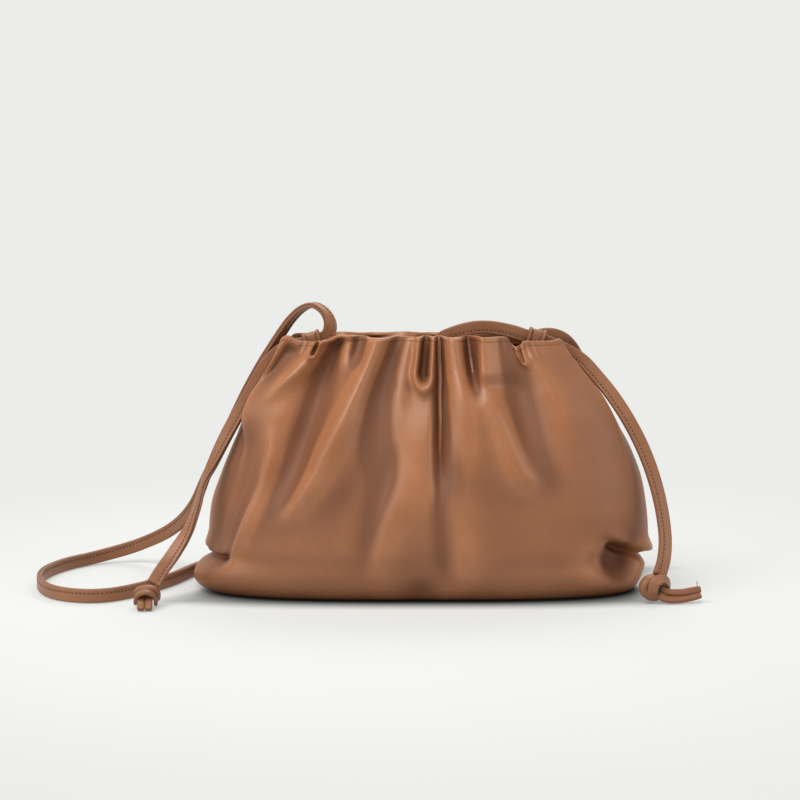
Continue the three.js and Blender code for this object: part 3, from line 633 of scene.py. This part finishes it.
def knot(name, wraps, middle, node_name):
    pieces = []
    for wrap, width, thickness, layers, rows in wraps:
        points, _, flat, wide, _ = strap_frames(rows, KNOT_STEP)
        swell = 1 - KNOT_TAPER * np.linspace(-1, 1, len(points)) ** 8
        shape = strap_section(width, thickness, layers, channel=0)
        pieces.append(swept_mesh(name + "_" + wrap, points, flat, wide, shape, swell))
        pieces[-1].data.materials.append(strap_leather)
    theta, phi = np.meshgrid(np.linspace(0, np.pi, 13)[1:-1],
                             np.linspace(0, 2 * np.pi, 24, endpoint=False), indexing="ij")
    ball = np.stack([np.sin(theta) * np.cos(phi), np.sin(theta) * np.sin(phi), np.cos(theta)], -1)
    index = np.arange(ball.size // 3).reshape(ball.shape[:2])
    over, last = np.roll(index, -1, 1), ball.size // 3
    quads = np.stack([index[:-1], index[1:], over[1:], over[:-1]], -1).reshape(-1, 4).tolist()
    quads += [(last, a, b) for a, b in zip(index[0], over[0])]
    quads += [(last + 1, b, a) for a, b in zip(index[-1], over[-1])]
    # A near-black ball in the knot's middle stands in for the shade between the wraps.
    core = bpy.data.meshes.new(name + "_core")
    round_points = np.concatenate([ball.reshape(-1, 3), [[0, 0, 1], [0, 0, -1]]])
    core.from_pydata((round_points * KNOT_CORE + middle).tolist(), [], quads)
    core.polygons.foreach_set("use_smooth", [True] * len(core.polygons))
    core.materials.append(needle_hole)
    piece = bpy.data.objects.new(name, core)
    bpy.context.collection.objects.link(piece)
    join(piece, pieces)
    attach(piece, "root")
    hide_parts(node_name)
    return piece


knot_left = knot("knot_left", LEFT_KNOT, (-0.1396, -0.0556, 0.0060), "left_knot")
knot_right = knot("knot_right", RIGHT_KNOT, (0.1166, -0.0452, 0.0076), "right_knot")

# Pouch body
# One soft leather sack, gathered by pleats into a hemmed open rim, on a wide flat base. The
# rows are its level sections and its folds, as shares of the bag's own sizes.
BAG_WIDTH, BAG_DEPTH, BAG_HEIGHT = 0.237, 0.096, 0.132
LEATHER = 0.0018
PLEAT_DEPTH = 0.008


def table(columns, rows):
    return [dict(zip(columns.split(), row)) for row in rows]


SECTIONS = table("height width depth shift square", (
    (0, 0.918, 0.85, -0.005, 3),
    (0.014, 0.955, 0.922, -0.005, 3),
    (0.045, 0.981, 0.968, -0.005, 3),
    (0.09, 0.987, 0.99, -0.004, 3),
    (0.14, 0.986, 0.995, -0.002, 2.8),
    (0.19, 0.986, 1, 0, 2.8),
    (0.25, 0.984, 0.99, 0.002, 2.7),
    (0.33, 0.972, 0.965, 0.004, 2.7),
    (0.42, 0.948, 0.92, 0.008, 2.6),
    (0.51, 0.922, 0.86, 0.007, 2.6),
    (0.6, 0.896, 0.785, 0.005, 2.6),
    (0.69, 0.857, 0.69, 0.004, 2.6),
    (0.77, 0.814, 0.58, 0.002, 2.6),
    (0.85, 0.766, 0.465, 0.001, 2.6),
    (0.93, 0.708, 0.36, -0.002, 2.7),
    (1, 0.664, 0.282, -0.005, 2.8),
))
FOLDS = table("name top middle foot from to rise left right edge flare lean start end", (
    ("left_corner_hollow", -0.64, -0.7, -0.77, 0.99, 0.78, -0.55, 0.05, 0.07, 2, 1.2, 0, 0.2, 0.5),
    ("left_shoulder", -0.45, -0.54, -0.68, 1.02, 0.72, 0.6, 0.055, 0.055, 1.8, 1.4, 0, 0.05, 0.5),
    ("first_valley", -0.375, -0.415, -0.455, 1.02, 0.25, -1.1, 0.075, 0.056, 1.8, 1.4, 0, 0.06, 0.5),
    ("rim_recess", -0.262, -0.262, -0.262, 1.05, 0.86, -0.85, 0.042, 0.03, 2.4, 1, 0, 0.02, 0.45),
    ("long_roll", -0.17, -0.285, -0.44, 1.02, 0.25, 1.2, 0.055, 0.085, 1.8, 1.2, -0.2, 0.04, 0.28),
    ("second_valley", -0.085, -0.165, -0.105, 1.02, 0.34, -0.85, 0.034, 0.036, 1.9, 1.9, 0, 0.04, 0.7),
    ("soft_rib", -0.052, -0.095, -0.055, 1.02, 0.45, 0.3, 0.03, 0.03, 1.9, 1.3, 0, 0.05, 0.6),
    ("low_rib", -0.055, -0.12, -0.15, 0.6, 0, 0.42, 0.055, 0.075, 1.7, 1.3, 0, 0.4, 0.35),
    ("middle_column", -0.005, -0.02, 0, 0.84, 0.06, 0.42, 0.06, 0.055, 2.6, 1.2, 0, 0.3, 0.5),
    ("deep_crease", 0.068, 0.039, 0.028, 1.02, 0.28, -1.15, 0.013, 0.017, 1.6, 1.4, 0, 0.02, 0.55),
    ("third_rib", 0.125, 0.115, 0.14, 1.02, 0.40, 0.75, 0.042, 0.045, 1.8, 1.6, 0, 0.05, 0.6),
    ("third_valley", 0.195, 0.178, 0.165, 1.02, 0.74, -1.1, 0.019, 0.022, 1.8, 1.2, 0, 0.05, 0.5),
    ("fourth_rib", 0.262, 0.225, 0.19, 1.02, 0.8, 1.05, 0.018, 0.085, 1.8, 1, -0.1, 0.05, 0.35),
    ("long_rib", 0.165, 0.25, 0.29, 0.9, 0.35, 0.75, 0.085, 0.050, 1.9, 1.3, 0, 0.25, 0.3),
    ("fourth_valley", 0.34, 0.328, 0.31, 0.93, 0.44, -0.65, 0.045, 0.060, 1.9, 1.3, 0, 0.3, 0.6),
    ("right_panel", 0.46, 0.48, 0.52, 1, 0.55, 0.4, 0.05, 0.18, 2, 1.2, 0, 0.15, 0.6),
    ("low_valley", -0.09, -0.145, -0.172, 0.64, 0.01, -0.32, 0.036, 0.026, 1.8, 1.3, 0, 0.35, 0.4),
    ("low_crease", 0.026, 0.042, 0.075, 0.46, 0.01, -0.20, 0.022, 0.032, 1.7, 1.4, 0, 0.35, 0.4),
    ("low_right_rib", 0.035, 0.08, 0.125, 0.52, 0, 0.36, 0.05, 0.09, 1.7, 1.4, 0, 0.4, 0.3),
    ("left_side", -1.02, -1.02, -1.02, 1.06, 0.36, -1.35, 0.16, 0.17, 4, 1, 0, 0.08, 0.7),
    ("left_gusset", -0.80, -0.80, -0.88, 0.72, 0.08, -1.15, 0.19, 0.20, 2.8, 1, 0, 0.25, 0.16),
    ("left_edge", -0.56, -0.565, -0.69, 0.68, 0.1, 0.45, 0.022, 0.06, 1.7, 1, 0, 0.3, 0.3),
    ("right_side", 1.03, 1.03, 1.03, 1.06, 0.45, -1.2, 0.18, 0.18, 4, 1, 0, 0.08, 0.75),
    ("back_valley_1", 1.35, 1.3, 1.24, 0.97, 0.45, -0.5, 0.05, 0.05, 1.9, 1.8, 0, 0.05, 0.6),
    ("back_rib_1", 1.46, 1.43, 1.38, 1.02, 0.35, 0.6, 0.05, 0.05, 1.9, 1.7, 0, 0.05, 0.6),
    ("back_valley_2", 1.59, 1.57, 1.54, 1.02, 0.3, -0.75, 0.045, 0.045, 1.9, 1.9, 0, 0.05, 0.65),
    ("back_rib_2", 1.72, 1.71, 1.68, 1.02, 0.3, 0.65, 0.045, 0.045, 1.9, 1.8, 0, 0.05, 0.6),
    ("back_valley_3", 1.85, 1.85, 1.84, 1.02, 0.25, -0.7, 0.042, 0.042, 1.8, 2, 0, 0.05, 0.65),
    ("back_rib_3", 1.96, 1.97, 1.98, 1.02, 0.4, 0.6, 0.04, 0.04, 1.9, 1.6, 0, 0.05, 0.6),
    ("back_valley_4", 2.08, 2.1, 2.13, 1.02, 0.3, -0.8, 0.042, 0.042, 1.8, 1.9, 0, 0.05, 0.65),
    ("back_rib_4", 2.21, 2.24, 2.29, 1.02, 0.35, 0.65, 0.05, 0.05, 1.9, 1.7, 0, 0.05, 0.6),
    ("back_valley_5", 2.35, 2.4, 2.47, 1.02, 0.35, -0.7, 0.05, 0.05, 1.9, 1.7, 0, 0.05, 0.65),
    ("back_rib_5", 2.5, 2.55, 2.62, 1.02, 0.4, 0.55, 0.055, 0.055, 1.9, 1.5, 0, 0.05, 0.6),
))
PLEATS = table("name top foot tall wide ridge rise slot", (
    ("hanging_loop", 0.014, -0.008, 0.13, 0.03, 0.013, 0.62, -0.75),
    ("shoulder_notch", -0.478, -0.486, 0.04, 0.02, 0.012, 0.3, -0.7),
    ("hooked_pleat", 0.43, 0.42, 0.045, 0.012, 0.012, 0.35, -0.6),
))
TUCKS = table("name inner outer innerHeight outerHeight depth lip sag thick start end", (
    ("left_tuck", -0.62, -1.45, 0.14, 0.125, 0.7, 0.3, 0.3, 0.024, 0.18, 0.35),
    ("right_tuck", 0.56, 1.45, 0.205, 0.135, 0.6, 0.38, 0.3, 0.021, 0.14, 0.35),
))
DIPS = table("name around drop wide edge", (
    ("left_end", -1.04, 0.12, 0.24, 6),
    ("right_end", 1.06, 0.12, 0.28, 6),
    ("front_droop", 0.415, 0.030, 0.030, 3),
    ("left_keeper_seat", -0.52, 0.02, 0.13, 6),
    ("right_keeper_seat", 0.56, 0.02, 0.16, 6),
))
HOLLOWS = table("name around height wide tall edge depth", (
    ("right_pocket", 0.69, 0.15, 0.13, 0.085, 3, 1.4),
    ("left_foot", -1, 0.045, 0.3, 0.06, 2, -0.45),
    ("right_foot", 1, 0.04, 0.22, 0.05, 2, 0.25),
    ("foot_dent", -0.008, 0.04, 0.05, 0.05, 2, 0.2),
    ("back_bulge", 2, 0.2, 0.7, 0.25, 2, -0.2),
))


def smooth(t):
    c = np.clip(t, 0, 1)
    return c * c * (3 - 2 * c)


def turn_between(a, b):
    return (a - b + 2) % 4 - 2


def envelope(t, start, end):
    return np.where((t > 0) & (t < 1), smooth(t / start) * smooth((1 - t) / end), 0)


def relief(around, height):
    """How far the leather stands out, sideways and up from the plain form."""
    out, side, up = (np.zeros_like(around) for _ in range(3))
    for f in FOLDS:
        t = (f["from"] - height) / (f["from"] - f["to"])
        centre = (f["top"] * (1 - t) * (1 - 2 * t) + 4 * f["middle"] * t * (1 - t)
                  + f["foot"] * t * (2 * t - 1))
        d = turn_between(around, centre)
        width = np.where(d < 0, f["left"], f["right"]) * (1 + (f["flare"] - 1) * t)
        share = (envelope(t, f["start"], f["end"])
                 * np.exp(-(np.abs(d) / np.abs(width)) ** f["edge"]))
        out += f["rise"] * share
        side += f["lean"] * share
    for p in PLEATS:
        drop = (1 - height) / p["tall"]
        centre = p["top"] + (p["foot"] - p["top"]) * np.minimum(drop, 1)
        across = turn_between(around, centre) / p["wide"]
        r = np.hypot(across, np.maximum(drop - 1, 0) * 2.2)
        out += p["rise"] * np.exp(-((r - 1) * p["wide"] / p["ridge"]) ** 2)
        out += p["slot"] * np.exp(-(r / 0.62) ** 4)
    for k in TUCKS:
        t = turn_between(around, k["inner"]) / turn_between(k["outer"], k["inner"])
        share = envelope(t, k["start"], k["end"])
        level = k["innerHeight"] + (k["outerHeight"] - k["innerHeight"]) * smooth(t * 2)
        rise = (height - level) / k["thick"]
        lip = np.exp(-((rise - 1.9) / 1.2) ** 2) * share
        out += k["lip"] * lip - k["depth"] * share * np.exp(-rise**2)
        up -= k["sag"] * lip
    for d in DIPS:
        near = np.exp(-np.abs(turn_between(around, d["around"]) / d["wide"]) ** d["edge"])
        up -= d["drop"] * BAG_HEIGHT / PLEAT_DEPTH * near * smooth((height - 0.75) * 4)
    for h in HOLLOWS:
        d2 = ((turn_between(around, h["around"]) / h["wide"]) ** 2
              + ((height - h["height"]) / h["tall"]) ** 2)
        out -= h["depth"] * np.exp(-d2 ** (h["edge"] / 2))
    return out * PLEAT_DEPTH, side * PLEAT_DEPTH, up * PLEAT_DEPTH


def outer_skin(around, level):
    """Points of the outer face on a grid of places around and fractional section rows."""
    column = {k: through([row[k] for row in SECTIONS], level)
              for k in ("height", "width", "depth", "shift", "square")}
    half_width, half_depth = column["width"] * BAG_WIDTH / 2, column["depth"] * BAG_DEPTH / 2
    square, height = column["square"], column["height"]
    across = np.sin(around * np.pi / 2)
    share = np.minimum(np.abs(across), 1)
    deep = np.maximum(1 - share**square, 0) ** (1 / square)
    front = np.where(np.cos(around * np.pi / 2) >= 0, -1, 1)
    nx = np.sign(across) * share ** (square - 1) / half_width
    ny = front * deep ** (square - 1) / half_depth
    length = np.hypot(nx, ny)
    nx, ny = nx / length, ny / length
    out, side, up = relief(around, height)
    return np.stack([
        across * half_width + column["shift"] * BAG_WIDTH + nx * out - ny * side,
        front * deep * half_depth + ny * out + nx * side,
        np.maximum(height * BAG_HEIGHT + up, 0)], -1), out


COLUMNS_FRONT, COLUMNS_BACK = 460, 200
WALL_ROWS, RIM_ROWS, RIM_SHARE = 150, 16, 0.42
HEM_TALL, HEM_PROUD, HEM_STEP = 0.0021, 0.00028, 0.0005
HEM_GROOVE, HEM_GROOVE_WIDTH = 0.00012, 0.00035
INSIDE_SMOOTHING, INSIDE_THINNING = 6, 3
RIM_CROWN = 0.0009
CREASE_REACH, CREASE_EVEN, CREASE_FULL = (9, 18), 0.45, 0.0022
top_row = len(SECTIONS) - 1
around_line = np.concatenate([
    np.linspace(-1, 1, COLUMNS_FRONT, endpoint=False),
    np.linspace(1, 3, COLUMNS_BACK, endpoint=False)])
level_line = np.concatenate([
    np.linspace(0, top_row - RIM_SHARE, WALL_ROWS, endpoint=False),
    np.linspace(top_row - RIM_SHARE, top_row, RIM_ROWS)])
around_grid, level_grid = np.meshgrid(around_line, level_line)
outer, out_map = outer_skin(around_grid, level_grid)


def grid_normals(grid):
    east = np.roll(grid, -1, 1) - np.roll(grid, 1, 1)
    return unit(np.cross(east, np.gradient(grid, axis=0)))


normals = grid_normals(outer)
drop = np.linalg.norm(outer - outer[-1:], axis=2)
hem = (HEM_PROUD * smooth((HEM_TALL - drop) / HEM_STEP + 0.5)
       - HEM_GROOVE * np.exp(-((drop - HEM_TALL) / HEM_GROOVE_WIDTH) ** 2))
outer = outer + normals * hem[..., None]
inner = outer - normals * LEATHER
for _ in range(INSIDE_SMOOTHING):
    inner = (inner + np.roll(inner, 1, 1) + np.roll(inner, -1, 1)) / 3
inner[..., 2] = np.maximum(inner[..., 2], LEATHER)
inner = inner[::-1][::INSIDE_THINNING]
rim_out, rim_in = outer[-1], inner[0]
rim = [rim_out * (1 - t) + rim_in * t + np.array([0, 0, RIM_CROWN]) * math.sin(math.pi * t)
       for t in (0.2, 0.5, 0.8)]


def floor_ring(ring, share, height):
    return np.concatenate([ring[:, :2] * share, np.full((len(ring), 1), height)], 1)


floor_out = [floor_ring(outer[0], share, 0.0) for share in (0.35, 0.8)]
floor_in = [floor_ring(inner[-1], share, LEATHER) for share in (0.8, 0.35)]
rings = np.concatenate([floor_out, outer, np.array(rim), inner, floor_in])
count, tall = rings.shape[1], rings.shape[0]
index = np.arange(count * tall).reshape(tall, count)
beside = np.roll(index, -1, 1)
quads = np.stack([index[:-1], beside[:-1], beside[1:], index[1:]], -1).reshape(-1, 4)
verts = np.concatenate([rings.reshape(-1, 3), [[0, 0, 0], [0, 0, LEATHER]]])
caps = [(count * tall, (k + 1) % count, k) for k in range(count)]
last = (tall - 1) * count
caps += [(count * tall + 1, last + k, last + (k + 1) % count) for k in range(count)]
mesh = bpy.data.meshes.new("pouch")
mesh.from_pydata(verts.tolist(), [], quads.tolist() + caps)
mesh.polygons.foreach_set("use_smooth", [True] * len(mesh.polygons))
# The crease mask is painted shade: the pouch turns darker the deeper a fold's hollow lies below its
# neighbours, and less dark on the ridges.
nearby = [np.roll(out_map, side * reach, 1) for reach in CREASE_REACH for side in (1, -1)]
bend = out_map - sum(nearby) / len(nearby)
painted_crease_shade = np.zeros(len(verts), np.float32)
start = len(floor_out) * count
painted_crease_shade[start:start + bend.size] = np.clip(CREASE_EVEN - bend.reshape(-1) / CREASE_FULL, 0, 1)
mask = mesh.attributes.new("crease", "FLOAT", "POINT")
mask.data.foreach_set("value", painted_crease_shade)
pouch = bpy.data.objects.new("pouch", mesh)
bpy.context.collection.objects.link(pouch)
# Its darker colour, mixed in by the crease mask, is painted shade in the folds.
mesh.materials.append(leather(
    "pouch_leather", light=(0.372, 0.151, 0.064), dark=(0.292, 0.112, 0.045),
    wear_and_shade_colour=(0.180, 0.066, 0.027), grain=1150.0, roughness=0.37, mask="crease"))
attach(pouch, "root")
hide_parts("pouch_body")
